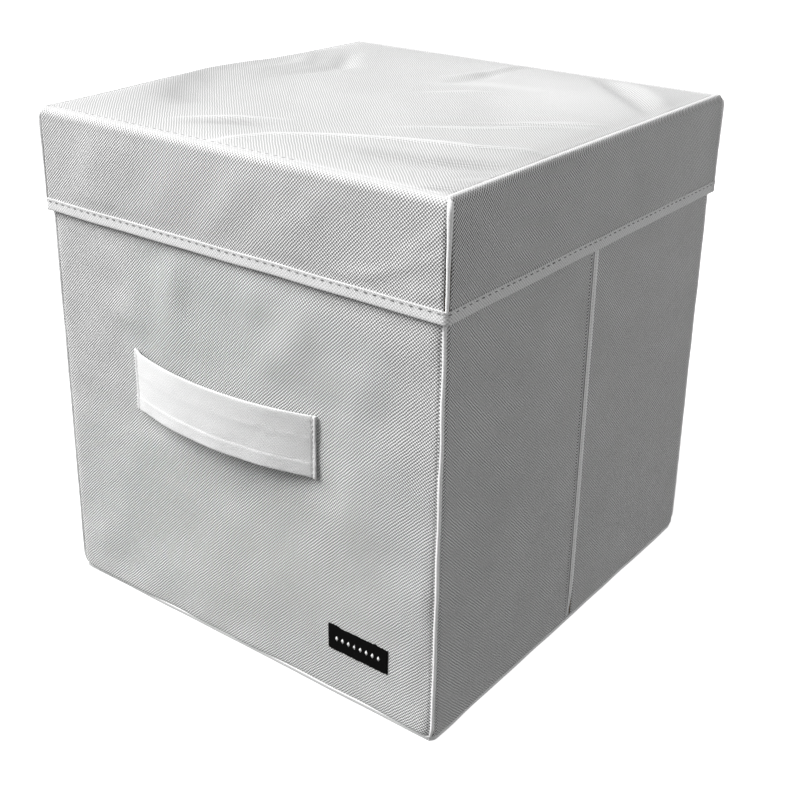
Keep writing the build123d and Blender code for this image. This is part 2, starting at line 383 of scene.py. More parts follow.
def nonwoven(name, light, dark, ribs=1.0, cross=0.3, depth=0.12, fuzz=0.1, sheen=0.15, pressed=0.22):
    """Spunbond fabric with fine embossed ribs on a slant, broken up by a weaker cross set."""
    s = Shader(name)
    cloth = s.cloth()
    smooth = s.add("ShaderNodeSeparateXYZ", {"Vector": cloth}).outputs["Z"]
    embossed = s.math("SUBTRACT", 1.0, smooth, clamp=True)
    k = 2 * math.pi * RIBS_PER_MM
    links = {"Vector": cloth, "Scale": 0.16, "Detail": 1.0}
    wander = s.add("ShaderNodeTexNoise", links).outputs["Color"]
    links = {0: wander, 1: (0.9, 0.9, 0.0), 2: cloth}
    shifted = s.add("ShaderNodeVectorMath", links, operation="MULTIPLY_ADD").outputs["Vector"]
    main = s.math("MULTIPLY", s.waves(shifted, (k, -k, 0.0)), s.math("MULTIPLY", embossed, 0.5 * ribs))
    patch = s.math("MULTIPLY", s.noise(cloth, 0.035), s.math("MULTIPLY", embossed, 2 * cross))
    second = s.math("MULTIPLY", s.waves(shifted, (k, k, 0.0)), patch)
    fibre = s.math("SUBTRACT", s.noise(cloth, 1.9, 3.0, 0.65), 0.5)
    height = s.math("ADD", s.math("ADD", main, second), s.math("MULTIPLY", fibre, fuzz * 6))
    # Smoothing pales the cloth; on the lid's top the same share also carries painted highlights and painted
    # shade.
    plain = s.math("ADD", s.math("MULTIPLY", smooth, pressed), 0.5)
    share = s.math("ADD", s.math("MULTIPLY", height, 1.15), plain, clamp=True)
    tone = s.mix(share, grey(dark), grey(light))
    shade = s.mix(s.noise(cloth, 0.012, 3.0), grey(0.88), grey(1.0))
    return s.finish(s.mix(1.0, tone, shade, "MULTIPLY"), height, depth, 0.85, sheen)


def white_thread(name, level):
    """Twisted thread or thin covered cord, with a fine slanted twist."""
    s = Shader(name)
    cloth = s.cloth()
    twist = s.math("MULTIPLY", s.waves(cloth, (2.2, 5.0, 0.0)), 0.3)
    fibre = s.noise(cloth, 2.6, 3.0, 0.6)
    height = s.math("ADD", twist, fibre)
    tone = s.mix(height, grey(level * 0.86), grey(level))
    return s.finish(tone, height, 0.08, 0.7, 0.1)


def woven_black(name):
    """Black damask: tight flat ribs across the tag, with a dull satin gloss."""
    s = Shader(name)
    cloth = s.cloth()
    across = s.waves(cloth, (0.0, 2 * math.pi / 0.34, 0.0))
    along = s.waves(cloth, (2 * math.pi / 0.5, 0.0, 0.0))
    height = s.math("ADD", s.math("MULTIPLY", across, 0.3), s.math("MULTIPLY", along, 0.15))
    share = s.math("ADD", height, 0.5, clamp=True)
    return s.finish(s.mix(share, grey(0.001), grey(0.006)), height, 0.05, 0.9, 0.0, 0.02)


def cardboard(name):
    """Raw grey-brown board with short fibres and darker specks."""
    s = Shader(name)
    place_at = s.add("ShaderNodeTexCoord").outputs["Object"]
    fibre = s.noise(place_at, 900.0, 4.0, 0.7)
    specks = s.noise(place_at, 2600.0, 1.0)
    tone = s.mix(fibre, (0.20, 0.155, 0.11, 1), (0.36, 0.29, 0.21, 1))
    dark = s.math("GREATER_THAN", specks, 0.68)
    tone = s.mix(s.math("MULTIPLY", dark, 0.5), tone, (0.10, 0.08, 0.06, 1))
    return s.finish(tone, fibre, 0.1, 0.92)


OUTER = nonwoven("nonwoven_outer", 0.93, 0.14, cross=0.5, depth=0.16, pressed=0.1)
SIDE = nonwoven("nonwoven_side", 0.95, 0.09, ribs=0.75, cross=0.7, depth=0.16, pressed=0.32)
TOP = nonwoven("nonwoven_top", 0.79, 0.33, ribs=0.8, cross=0.35, depth=0.08)
LINING = nonwoven("nonwoven_lining", 0.80, 0.42, ribs=0.8, depth=0.08)
BASE = nonwoven("nonwoven_base", 0.97, 0.80, ribs=0.5, depth=0.06)
BINDING = nonwoven("nonwoven_binding", 0.96, 0.48, ribs=0.5, cross=0.3, depth=0.1, fuzz=0.25)
STRAP = nonwoven("nonwoven_strap", 0.97, 0.68, ribs=0.2, cross=0.2, depth=0.14, fuzz=0.5)
CORD = white_thread("covered_cord", 0.95)
# Dark thread: in the lid's hem stitches it paints the shade they sit in, and as a thin cord in each side
# seam it paints the groove's shade.
DARK_THREAD_PAINTED_SHADE = white_thread("sewing_thread_painted_shade", 0.16)
PALE_THREAD = white_thread("pale_thread", 0.8)
# Grey thread whose tone paints the shade of the lid's front seam groove.
SEAM_SHADE_THREAD = white_thread("seam_shade_thread", 0.4)
TAG = woven_black("tag_damask")
BOARD = cardboard("grey_board")

# Body walls.

WALL = HALF_X - INNER_X
WALL_TOP = TAPE_BOTTOM + 0.4
WALL_VS = spaced(WALL_BOTTOM, WALL_TOP, 3.0)
REACH_X = HALF_X - 1.8
REACH_Y = HALF_Y - 1.8

Strip = namedtuple("Strip", "side along outer out inner")


def straight_strip(side, along):
    """Plan points along the outside and the inside of a wall; along is the distance u."""
    origin, right, out = (np.array(c[:2], float) for c in (side.origin, side.right, side.out))
    outer = origin + along[:, None] * right
    outs = np.broadcast_to(out, outer.shape)
    return Strip(side, along, outer, outs, outer - WALL * outs)


def turned_strip(along):
    """The front wall's strip, which goes on round the left corner to the open fold line."""
    front = straight_strip(FRONT, along)
    radius, inner_radius, steps = 1.5, 0.3, np.radians((18, 36, 54, 72, 90))
    outs = np.stack([-np.sin(steps), -np.cos(steps)], -1)
    ends = np.array((1.4, 2.8, HALF_Y - radius - HINGE_Y - 0.15))
    side = np.array((-1.0, 0.0))
    outer_turn = (radius - HALF_X, radius - HALF_Y) + radius * outs
    inner_turn = (inner_radius - INNER_X, inner_radius - INNER_Y) + inner_radius * outs
    outer_end = outer_turn[-1] + ends[:, None] * (0, 1)
    inner_end = np.stack([np.full(3, -INNER_X), outer_end[:, 1]], -1)
    turn_along = along[0] - 0.3 - radius * steps
    end_along = turn_along[-1] - ends
    return Strip(
        FRONT,
        np.concatenate([end_along[::-1], turn_along[::-1], along]),
        np.concatenate([outer_end[::-1], outer_turn[::-1], front.outer]),
        np.concatenate([np.tile(side, (3, 1)), outs[::-1], front.out]),
        np.concatenate([inner_end[::-1], inner_turn[::-1], front.inner]),
    )


def raised(plan, height):
    """Three-dimensional points from plan points and heights."""
    return np.concatenate([plan, height[..., None]], -1)


def wall_cover(name, strip, lift, material, squeeze=None):
    u, v = grid(strip.along, WALL_VS)
    plan = np.broadcast_to(strip.outer[:, None], u.shape + (2,)).copy()
    if squeeze is not None:
        plan += squeeze(u, v)[..., None] * np.array(strip.side.right[:2], float)
    out = strip.out[:, None]
    outer = raised(plan + lift(u, v)[..., None] * out, v)
    inner = raised(plan - FABRIC * out, v)
    return shell(name, outer, inner, strip.side.lean * u, v, material)


def wall_lining(name, strip):
    vs = spaced(WALL_BOTTOM, WALL_TOP, 6.0, 1.0)
    u, v = grid(strip.along, vs)
    into = -strip.out[:, None]
    plan = np.broadcast_to(strip.inner[:, None], u.shape + (2,))
    lift = 0.08 + 0.08 * soft_noise(u, v, 60, 57)
    return shell(
        name,
        raised(plan + lift[..., None] * into, v),
        raised(plan - FABRIC * into, v),
        -strip.side.lean * u,
        v,
        LINING,
    )


def rim_profile():
    """The tape folded over a top edge: share of the wall's thickness inwards, and height."""
    arc = np.linspace(0, math.pi, 9)[1:-1]
    share = [-0.10, -0.15, -0.05, -0.05, -0.05, -0.04, *(0.5 - 0.53 * np.cos(arc)), 1.03, 1.03, 1.03, 1.03]
    low = TAPE_BOTTOM
    rise = [0.0, 0.35, 0.9, 2.5, 4.5, RIM - 1.2 - low, *(RIM - 1.2 - low + 1.2 * np.sin(arc))]
    rise += [RIM - 1.3 - low, 4.5, 2.0, 0.1]
    return np.array(share) * WALL, np.array(rise) + low


def inset_profile(a, b, thickness):
    """A profile moved to its right-hand side."""
    da, db = np.gradient(a), np.gradient(b)
    size = np.hypot(da, db)
    return a + thickness * db / size, b - thickness * da / size


def rim_tape(name, strip):
    depth_out, height_out = rim_profile()
    depth_in, height_in = inset_profile(depth_out, height_out, TAPE)
    across = (strip.inner - strip.outer)[:, None] / WALL
    shape = (len(strip.along), len(depth_out))
    u = np.broadcast_to(strip.along[:, None], shape)
    uneven = 0.07 * soft_noise(u, np.broadcast_to(height_out, shape), 22, 31)
    layers = []
    for depth, height in ((depth_out, height_out), (depth_in, height_in)):
        plan = strip.outer[:, None] + (depth - uneven)[..., None] * across
        layers.append(raised(plan, np.broadcast_to(height, shape)))
    v = np.broadcast_to(distances(np.diff(depth_out), np.diff(height_out)), shape)
    return shell(name, *layers, strip.side.lean * u, v, BINDING)


def rim_stitches(name, strip):
    """The thread row that holds a rim tape, on the outside and the inside."""
    keep = np.arange(strip.along.min() + 3, strip.along.max() - 3, STITCH_PITCH)
    order = np.argsort(strip.along)
    row = []
    for u in keep:
        outer = between(u, strip.along[order], strip.outer[order])
        out = between(u, strip.along[order], strip.out[order])
        out /= np.linalg.norm(out)
        for plan, normal in ((outer + 0.16 * out, out), (outer - (WALL + 0.1) * out, -out)):
            row.append(((*plan, TAPE_BOTTOM + 1.8), (-out[1], out[0], 0.0), (*normal, 0.0)))
    return stitches(name, row, PALE_THREAD)


def wall_relief(u, v, seed, slack):
    """Soft waves in a wall, with its lower edge drawn into the bottom seam."""
    waves = 0.30 * soft_noise(u, v, 85, seed) + 0.11 * soft_noise(u, v, 32, seed + 1)
    return np.maximum(slack * (0.25 + waves), -0.05) - 0.4 * bump(v, WALL_BOTTOM, 1.2)


FRONT_DRAPE = (
    (((-40, 262), (-47, 220), (-44, 186)), 1.3, 11),
    (((-84, 258), (-78, 225), (-90, 190)), 0.8, 12),
    (((66, 256), (54, 228), (30, 200)), 1.3, 12),
    (((22, 252), (16, 226), (34, 196)), 0.9, 9),
    (((112, 250), (104, 214), (88, 176)), 0.9, 12),
    (((-96, 120), (-40, 92), (20, 96)), 0.9, 18),
    (((-140, 24), (-96, 60), (-82, 110)), 1.0, 18),
    (((100, 150), (70, 104), (66, 66)), 0.8, 16),
)


def corner_pull(v):
    """How far the corner seams draw in towards the bottom."""
    return 2.6 * np.clip((13 - v) / 10, 0, 1) ** 2


def end_wall_squeeze(u, v):
    return -np.sign(u) * corner_pull(v) * np.clip((np.abs(u) - 125) / 23, 0, 1) ** 2


def held_flat(u, v, folds):
    """Where the sewn strap ends and the tag hold the front cloth flat, from 0 to 1."""
    if not folds:
        return 0.0
    held = [(STRAP_LOW[0], STRAP_LOW, STRAP_HIGH, 4), (STRAP_HIGH[0], STRAP_LOW, STRAP_HIGH, 4)]
    held.append(((TAG_LOW[0] + TAG_HIGH[0]) / 2, TAG_LOW, TAG_HIGH, (TAG_HIGH[0] - TAG_LOW[0]) / 2))
    total = 0.0
    for centre, low, high, reach in held:
        beside = np.clip(1.6 - np.maximum(np.abs(u - centre) - reach, 0) / 12, 0, 1)
        middle, half = (low[2] + high[2]) / 2, (high[2] - low[2]) / 2
        beside = beside * np.clip(1.6 - np.maximum(np.abs(v - middle) - half, 0) / 12, 0, 1)
        total = np.maximum(total, beside)
    return total


def end_wall_lift(seed, folds=()):
    """The relief of an end wall, which lies calm under the lid and beside its corner seams."""

    def lift(u, v):
        past = np.clip((np.abs(u) - REACH_X + 6) / 6, 0, 1)
        sunk = 0.9 * bump(np.abs(u), REACH_X, 1.5)
        free = np.clip((HEM_BOTTOM + 4 - v) / 16, 0, 1) * (1 - held_flat(u, v, folds))
        loose = wall_relief(u, v, seed, 2.4) + folded(u, v, folds)
        rest = wall_relief(u, v, seed, 0.5)
        return (free * loose + (1 - free) * rest) * (1 - past) + 0.15 * past - sunk

    return lift


def side_lift(seed, seam):
    """The relief of half a side wall, calm beside the middle seam, where seam adds its profile."""

    def lift(u, v):
        d = np.abs(u)
        calm = np.clip(d / 14, 0, 1)
        base = np.minimum(wall_relief(u, v, seed, 1.0), 0.44)
        return base * calm + 0.05 * (1 - calm) + seam(d) - 1.1 * bump(d, REACH_Y, 1.6)

    return lift


def front_seam(d):
    """Lip, ditch and flange of the front half, at a distance d from the fold line."""
    lip = 0.58 * np.clip((6.3 - d) / 0.5, 0, 1) * np.clip((d - 3.7) / 0.4, 0, 1)
    return lip - 0.45 * bump(d, 3.0, 0.8)


def rear_seam(d):
    return 0.1 * bump(d, 4.6, 1.0) - 0.5 * bump(d, 2.5, 0.5)


def declare(node):
    """Hides the CAD node that a sheet stands in for."""
    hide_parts(node)


def bend_at_corner(piece):
    """Bakes a piece's transform into its mesh."""
    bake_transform(piece)


def dress_wall(base, cover, strip, lining_strip, attach):
    """Lining, rim tape and threads of a wall, with the wall's CAD sheets hidden."""
    lining = wall_lining(f"{base}_lining_cloth", lining_strip)
    tape = rim_tape(f"{base}_rim_tape", strip)
    threads = rim_stitches(f"{base}_rim_stitches", strip)
    for piece in (cover, lining, tape, threads):
        attach(piece)
    declare(f"{base}_fabric")
    declare(f"{base}_lining")
    declare(f"{base}_rim_binding")


def end_wall(name, side, seed, turned, folds=()):
    along = spaced(-REACH_X, REACH_X, 2.5)
    inner_along = spaced(0.1 - INNER_X, INNER_X - 0.1, 5.0, 1.0)
    make = turned_strip if turned else lambda a: straight_strip(side, a)
    strip = make(along)
    cover = wall_cover(f"{name}_cover", strip, end_wall_lift(seed, folds), OUTER, end_wall_squeeze)
    lining_strip = make(inner_along)
    dress_wall(name, cover, strip, lining_strip, lambda p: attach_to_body(p, f"{name}_wall"))


def half_wall(side_name, half_name, side, seed):
    """One half of a side wall; only the left front one stops at its corner fold line."""
    rear = half_name == "rear"
    open_corner = side_name == "left" and not rear
    toward = side.right[1] if rear else -side.right[1]
    middle = 2.4 if rear else 0.2
    far = HINGE_Y - 0.15 if open_corner else REACH_Y
    inner_far = HINGE_Y - 0.15 if open_corner else INNER_Y - 0.2

    def run(low, high, step, fine, margin):
        along = spaced(low, high, step, fine, margin)
        return straight_strip(side, along if toward > 0 else -along[::-1])

    strip = run(middle, far, 2.5, 0.4, 7.2)
    lining_strip = run(0.15, inner_far, 5.0, 1.0, 3.0)
    lift = side_lift(seed, rear_seam if rear else front_seam)
    base = f"{side_name}_{half_name}"
    cover = wall_cover(f"{base}_cover", strip, lift, SIDE)

    def attach(piece):
        if open_corner:
            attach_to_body(piece, f"{base}_panel")
        else:
            bend_at_corner(piece)

    dress_wall(base, cover, strip, lining_strip, attach)


def corner_cord(end_name, side_name, side_x, side_y, seed=71):
    """A covered cord that stands in a corner seam and ends in a small foot."""
    foot = [0.7, 1.6, 3.0, 5.0, 7.5, 10.5, 14.0]
    z = np.concatenate([foot, np.arange(18, RIM - 6, 5.0), [RIM - 3.0, RIM - 0.4]])
    pull = corner_pull(z)
    x = side_x * (CORD_X - pull + 0.12 * waver(z, 40, seed))
    y = side_y * (CORD_Y - 0.35 * pull + 0.12 * waver(z, 37, seed + 1))
    radii = 1.1 + 0.08 * waver(z, 12, seed + 2)
    radii[-1] *= 0.6
    radii[0] *= 0.7
    base = f"{end_name}_{side_name}_corner"
    cord(f"{base}_cord", f"{end_name}_wall", x, y, z, radii, CORD, node=f"{base}_piping")


def seam_welt(side_name, side_x):
    """The thin cord in the middle seam, which tapers and leans forward at the bottom."""
    z = np.concatenate([[WALL_BOTTOM, 7, 10, 14, 19, 25, 32], np.arange(38, RIM - 4, 6.0), [RIM - 0.6]])
    low = np.clip((34 - z) / 30, 0, 1)
    y = SEAM_Y + 0.1 - 2.2 * low**2 + 0.06 * waver(z, 60, 5)
    x = side_x * (HALF_X - 1.3 - 0.3 * low - 0.6 * np.clip((z - TAPE_BOTTOM) / 4, 0, 1))
    radii = 1.85 - 0.6 * low + 0.04 * waver(z, 9, 6)
    body, node = f"{side_name}_rear_panel", f"{side_name}_seam_piping"
    cord(f"{side_name}_seam_welt", body, x, y, z, radii, CORD, 12, node)


def seam_flange(side_name, side_x):
    """The pressed fold of the front half beside the welt, and a thin dark cord in the groove before it,
    which paints the groove's shade.
    """
    z = np.concatenate([[WALL_BOTTOM + 1, 9, 14, 20, 27], np.arange(34, WALL_TOP - 1, 8.0)])
    lean = np.clip((34 - z) / 30, 0, 1) ** 2
    x, y = side_x * (HALF_X - 0.95), -1.35 - 1.2 * lean
    body = f"{side_name}_front_panel"
    cord(f"{side_name}_seam_flange", body, x, y, z, 1.28 - 0.3 * lean, CORD, 12)
    # A thin dark cord that paints the shade in the groove.
    cord(f"{side_name}_seam_shade_thread", body, x + side_x * 0.9, y - 1.75, z, 0.55, DARK_THREAD_PAINTED_SHADE, 8)


end_wall("front", FRONT, 11, True, FRONT_DRAPE)
end_wall("back", BACK, 23, False)
half_wall("right", "front", RIGHT, 41)
half_wall("right", "rear", RIGHT, 47)
half_wall("left", "front", LEFT, 53)
half_wall("left", "rear", LEFT, 59)
for end_name, side_y in (("front", -1), ("back", 1)):
    for side_name, side_x in SIDES:
        corner_cord(end_name, side_name, side_x, side_y)
for side_name, side_x in SIDES:
    seam_flange(side_name, side_x)
    seam_welt(side_name, side_x)

# Base.


def loop(half_x, half_y, radius, step, arc_steps=6):
    """Plan points and outward normals of a rounded rectangle, anticlockwise, and the distance."""
    points, normals = [], []
    corners = ((1, 1), (-1, 1), (-1, -1), (1, -1))
    for index, (sx, sy) in enumerate(corners):
        centre = np.array((sx * (half_x - radius), sy * (half_y - radius)))
        start = index * math.pi / 2
        for angle in np.linspace(start, start + math.pi / 2, arc_steps):
            out = np.array((math.cos(angle), math.sin(angle)))
            points.append(centre + radius * out)
            normals.append(out)
        nx, ny = corners[(index + 1) % 4]
        target = np.array((nx * (half_x - radius), ny * (half_y - radius))) + radius * out
        last, count = points[-1], int(np.linalg.norm(target - points[-1]) / step)
        points += [last + (target - last) * k / count for k in range(1, count)]
        normals += [out] * (count - 1)
    points, normals = np.array(points), np.array(normals)
    return points, normals, distances(*np.diff(points, axis=0).T)


def base_cloth():
    """The soft base: a shallow tray with a rolled top edge and rounded lower edge."""
    points, normals, _ = loop(HALF_X - 0.2, HALF_Y - 0.2, 5.0, 6.0)
    arc = np.linspace(0, math.pi / 2, 6)
    radius = 2.2
    depth = [0.3, -0.15, -0.25, 0.15, 0.25, *(0.3 + radius - radius * np.cos(arc[1:]))]
    height = [TRAY_TOP, 4.25, 3.7, 3.1, 2.5, *(radius - radius * np.sin(arc[1:]) + 0.02)]
    shrink = np.array([0.95, 0.8, 0.6, 0.4, 0.2, 0.05])
    depth, height = np.array(depth), np.array(height)
    inner_depth, inner_height = depth + 0.5, np.maximum(height - 0.1, 0.5)
    layers = []
    for d, h in ((depth, height), (inner_depth, inner_height)):
        side = points[:, None] - d[:, None] * normals[:, None]
        wave = 0.2 * soft_noise(side[..., 0], side[..., 1], 45, 91)
        side = side + wave[..., None] * normals[:, None]
        flat = side[:, -1:] * shrink[:, None]
        plan = np.concatenate([side, flat], 1)
        heights = np.concatenate([h, np.full(len(shrink), h[-1])])
        layers.append(raised(plan, np.broadcast_to(heights, plan.shape[:2])))
    u, v = layers[0][..., 0], layers[0][..., 1] + layers[0][..., 2]
    piece = shell("base_cloth", *layers, u, v, BASE, ring=True, cap=True)
    declare("base_fabric")
    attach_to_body(piece, "back_wall")
    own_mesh(piece)


def insert_sleeve():
    """The cloth sleeve round the loose base board, open at its two side ends."""
    low, high = INSERT_LOW, INSERT_HIGH
    r = (high[2] - low[2]) / 2
    ys = spaced(low[1] + 1.0, high[1] - r, 7.0, 1.0)
    arc = np.linspace(-math.pi / 2, math.pi / 2, 9)[1:-1]
    bottom = np.stack([ys, np.full(len(ys), low[2])], -1)
    rear = np.stack([high[1] - r + r * np.cos(arc), low[2] + r + r * np.sin(arc)], -1)
    top = np.stack([ys[::-1], np.full(len(ys), high[2])], -1)
    turn = 0.98
    front_arc = np.linspace(math.pi / 2, 3 * math.pi / 2, 7)[1:-1]
    front_rise = low[2] + r + (r - 0.02) * np.sin(front_arc)
    front = np.stack([low[1] + 1.0 + turn * np.cos(front_arc), front_rise], -1)
    section = np.concatenate([bottom, rear, top, front])
    middle = np.array([(low[1] + high[1]) / 2, low[2] + r])
    inside = middle + (section - middle) * (1 - SLEEVE / (high[1] - middle[0]), 1 - SLEEVE / r)
    xs = spaced(low[0], high[0], 8.0, 1.0)
    layers = []
    for points, uneven in ((section, 0.12), (inside, 0.0)):
        x, y, z = np.broadcast_arrays(xs, points[:, :1], points[:, 1:])
        up = np.sign(z - middle[1]) * uneven * (0.6 + soft_noise(x, y, 70, 83) * 0.4)
        layers.append(np.stack([x, y, z + np.where(z > middle[1] + 1, up, 0)], -1))
    u = layers[0][..., 0]
    around = distances(*np.diff(section, axis=0).T)
    piece = shell("insert_sleeve", *layers, u, np.broadcast_to(around[:, None], u.shape), LINING, ring=True)
    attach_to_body(piece, "base_insert")
    declare("base_insert_cover")


base_cloth()
insert_sleeve()

# Handle and tag.

LOWER_BAND, UPPER_BAND = 9.4, 23.8

def handle():
    """The folded strap: three layers seen as bands, bowed off the wall, with sewn ends."""
    low, high = STRAP_LOW, STRAP_HIGH
    width = high[2] - low[2]
    bow = -HALF_Y - low[1] - 1.6
    us = spaced(low[0], high[0], 2.0, 0.35, 5.0)
    t = (us - low[0]) / (high[0] - low[0])
    off = 0.5 + bow * (4 * t * (1 - t)) ** 0.92
    slope = np.gradient(off, us)
    size = np.hypot(slope, 1)
    out = np.stack([-slope / size, -1 / size], -1)
    edge_rows = (0, 0.35, 0.8, 1.6, 3, 5, 7)
    step_rows = (8.2, 8.8, 9.2, 9.6, 10.4, 12, 15, 18, 21, 23, 23.8, 24.2, 24.6, 25.2, 26.5)
    vs = np.array([*edge_rows, *step_rows, 29, 32, 34, 35.1, 35.6, 36]) * width / 36
    u, v = grid(us, vs)
    lower = np.clip((LOWER_BAND - v) / 0.5, 0, 1)
    upper = np.clip((v - UPPER_BAND) / 0.5, 0, 1)
    layers = 0.22 * lower + 0.18 * upper + 0.08 * bump(v, 8.9, 0.5) + 0.08 * bump(v, 24.5, 0.5)
    layers = layers + 0.10 * bump(v, 17 + 1.2 * soft_noise(u, u * 0, 60, 103), 1.2) - 0.08 * bump(v, 31, 0.6)
    edges = -0.35 * (bump(v, 0, 0.5) + bump(v, width, 0.5))
    right_welt = 0.5 * np.clip((u - high[0] + 1.5) / 0.4, 0, 1) - 0.4 * bump(u, high[0] - 2.1, 0.5)
    left_welt = 0.45 * np.clip((low[0] + 1.8 - u) / 0.6, 0, 1) - 0.25 * bump(u, low[0] + 2.4, 0.6)
    uneven = 0.16 * soft_noise(u, v, 26, 101) + 0.06 * soft_noise(u, v, 6, 102)
    lift = 0.95 + layers + edges + right_welt + left_welt + uneven
    ear = 1.3 * bump(u, low[0], 4.5) * np.clip((v - width * 0.6) / (width * 0.4), 0, 1) ** 2
    drop = -0.8 * bump(u, low[0], 10) * np.clip(1 - v / width * 2, 0, 1)
    tip = -1.0 * bump(u, high[0], 3.0) * np.clip(1 - v / 8, 0, 1)
    z = low[2] + v + ear + drop + tip
    plan = np.stack([us, -HALF_Y - off], -1)[:, None]
    outer = raised(plan + lift[..., None] * out[:, None], z)
    inner = raised(np.broadcast_to(plan, outer.shape[:2] + (2,)), z)
    piece = shell("handle_cloth", outer, inner, u * size[:, None], v, STRAP)
    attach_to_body(piece, "front_wall")
    declare("handle_strap")
    row = []
    for x in (high[0] - 2.1, low[0] + 2.4):
        i = np.argmin(np.abs(us - x))
        for zz in np.linspace(low[2] + 2.5, high[2] - 2.5, 11):
            on_band = zz - low[2] < LOWER_BAND or zz - low[2] > UPPER_BAND
            lift_here = 0.95 + 0.35 * on_band - 0.1
            spot = np.array([us[i], -HALF_Y - off[i]]) + lift_here * out[i]
            row.append(((*spot, zz), UP, (*out[i], 0.0)))
    threads = stitches("handle_stitches", row, PALE_THREAD, 2.2, 0.28)
    put(threads, "front_wall")


def tag():
    """The woven tag, with slightly uneven cut edges and a plain row of woven diamonds."""
    low, high = TAG_LOW, TAG_HIGH
    us = spaced(low[0], high[0], 1.0, 0.3, 1.5)
    vs = spaced(0, high[2] - low[2], 1.0, 0.3, 1.5)
    u, v = grid(us, vs)
    share = v / vs[-1]
    uneven = 0.6 * np.clip((low[0] + 8 - u) / 0.6, 0, 1) + 0.7 * bump(u, low[0] + 35, 1.2)
    z = low[2] + v + share * uneven + 0.2 * soft_noise(u, v * 0, 4, 111) * (2 * share - 1)
    curl = 0.25 * (bump(u, low[0], 3) + bump(u, high[0], 3)) * share
    edge = -0.2 * (bump(v, 0, 0.5) + bump(v, vs[-1], 0.5) + bump(u, low[0], 0.5) + bump(u, high[0], 0.5))
    lift = 0.85 + curl + edge + 0.06 * soft_noise(u, v, 9, 112)
    outer = place(FRONT, u, z, lift)
    inner = place(FRONT, u, z, 0.3)
    piece = shell("tag_cloth", outer, inner, u, v, TAG)
    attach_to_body(piece, "front_wall")
    declare("front_tag")
    points, faces = [], []
    middle_z = (low[2] + high[2]) / 2 + 0.2
    for x in np.linspace(low[0] + 6.5, high[0] - 6.5, 8):
        first = len(points)
        corners = ((-1.1, 0), (0, -1.8), (1.1, 0), (0, 1.8))
        spots = [(0, 0, 1.02), *((*c, 0.9) for c in corners), *((*c, 0.78) for c in corners)]
        points += [place(FRONT, x + du, middle_z + dv, rise) for du, dv, rise in spots]
        for k in range(4):
            n = (k + 1) % 4
            faces.append((first, first + 1 + k, first + 1 + n))
            faces.append((first + 1 + k, first + 5 + k, first + 5 + n, first + 1 + n))
        faces.append((first + 8, first + 7, first + 6, first + 5))
    motif = add_mesh("tag_motif", np.array(points), faces, np.array(points), PALE_THREAD)
    put(motif, "front_wall")


handle()
tag()

# Lid.

SHOULDER = {"front": 4.8, "right": 4.2, "back": 3.0, "left": 3.0}
CROWN = LID_TOP + 0.3
SKIRT_THICKNESS = 2.4
SKIRT_INSET = 2.6
# Each crease of the top cloth: its line, its height and width, and how much paler and how wide its tone is.
# These tones are painted light: positive ones paint highlights along the creases, negative ones paint shade
# in the hollows and valleys.
MAIN_CREASE = ((-24, -158), (10, -126), (44, -108), (78, -91), (113, -77), (156, -46))
CREASES = (
    (((-150, -90), (-147, -20), (-150, 40), (-140, 90)), 4.2, 11, 0, 1),
    (((-130, -56), (-102, -84), (-80, -106)), -2.2, 13, 0, 1),
    (MAIN_CREASE, 1.2, 2.2, 1.7, 1.8),
    (MAIN_CREASE, 1.2, 7, 0, 1),
    (((70, -130), (115, -114), (156, -88)), -2.2, 8, 0, 1),
    (((-64, -130), (-35, -111), (-4, -92)), 1.0, 2.2, 1.3, 1.8),
    (((-42, -126), (-20, -114), (0, -108)), -1.6, 5, 0, 1),
    (((52, -72), (87, -43), (107, -22), (136, 10)), 1.2, 2.2, 1.4, 1.8),
    (((72, -36), (100, -10), (142, 24)), 1.0, 2.4, 0.9, 1.8),
    (((60, -46), (92, -18), (146, 16)), -1.2, 7, 0, 1),
    (((6, 12), (24, 30), (44, 48)), 0.6, 2.2, 0.9, 2.0),
    (((138, -130), (150, -109), (156, -80)), 0.9, 2.5, 1.2, 2.2),
    (((128, -150), (146, -140), (158, -122)), -1.6, 3, -1.2, 3),
    (((-6, 66), (6, 100), (8, 152)), 1.6, 5, 0, 1),
    (((8, 110), (12, 80), (2, 48)), -1.6, 7, 0, 1),
    (((57, 154), (82, 128), (106, 102), (154, 58)), -2.0, 7, -0.9, 6),
    (((76, 150), (110, 124), (152, 84)), 1.4, 8, 0.5, 9),
    (((-120, 108), (-84, 50), (-98, 0)), -2.4, 8, 0, 1),
    (((-138, 84), (-112, 40), (-122, -4)), 1.4, 7, 0, 1),
    (((-14, 40), (30, 64), (70, 74)), 0, 1, 0.6, 7),
    (((0, 100), (60, 90), (140, 20)), 0, 1, 0.6, 45),
    (((-142, -30), (-104, -80), (-74, -104)), 0, 1, -1.9, 13),
    (((-155, 60), (-150, 5), (-153, -50)), 0, 1, -1.0, 6),
    (((-120, -150), (-125, -20), (-110, 120)), 0, 1, -0.9, 45),
    (((50, -122), (105, -112), (156, -86)), 0, 1, -1.3, 7),
    (((-52, -134), (-24, -114), (0, -104)), 0, 1, -1.2, 5),
    (((60, -52), (92, -24), (140, 4)), 0, 1, -0.5, 6),
)
TOP_FOLDS = [(line, height, width) for line, height, width, _, _ in CREASES if height]
# Painted highlights and painted shade of the creases, given as tones of the cloth.
CREASE_PAINTED_LIGHT = [(line, paler, width) for line, _, _, paler, width in CREASES if paler]


def left_rise(y):
    """How far the loose cloth stands up along the left edge."""
    return 2.6 * bump(y, -25, 70)


def lid_relief(x, y):
    """Height of the lid's top cloth above its seams."""
    inner_x, inner_y = LID_X - 3.0, LID_Y - 4.0
    puff = 3.8 * (1 - (np.abs(x) / inner_x) ** 6) * (1 - (np.abs(y) / inner_y) ** 6)
    z = puff + 0.30 * soft_noise(x, y, 70, 121) + 0.12 * soft_noise(x, y, 28, 122)
    z += left_rise(y) * np.exp(-(((x + inner_x) / 30) ** 2))
    return z + folded(x, y, TOP_FOLDS)


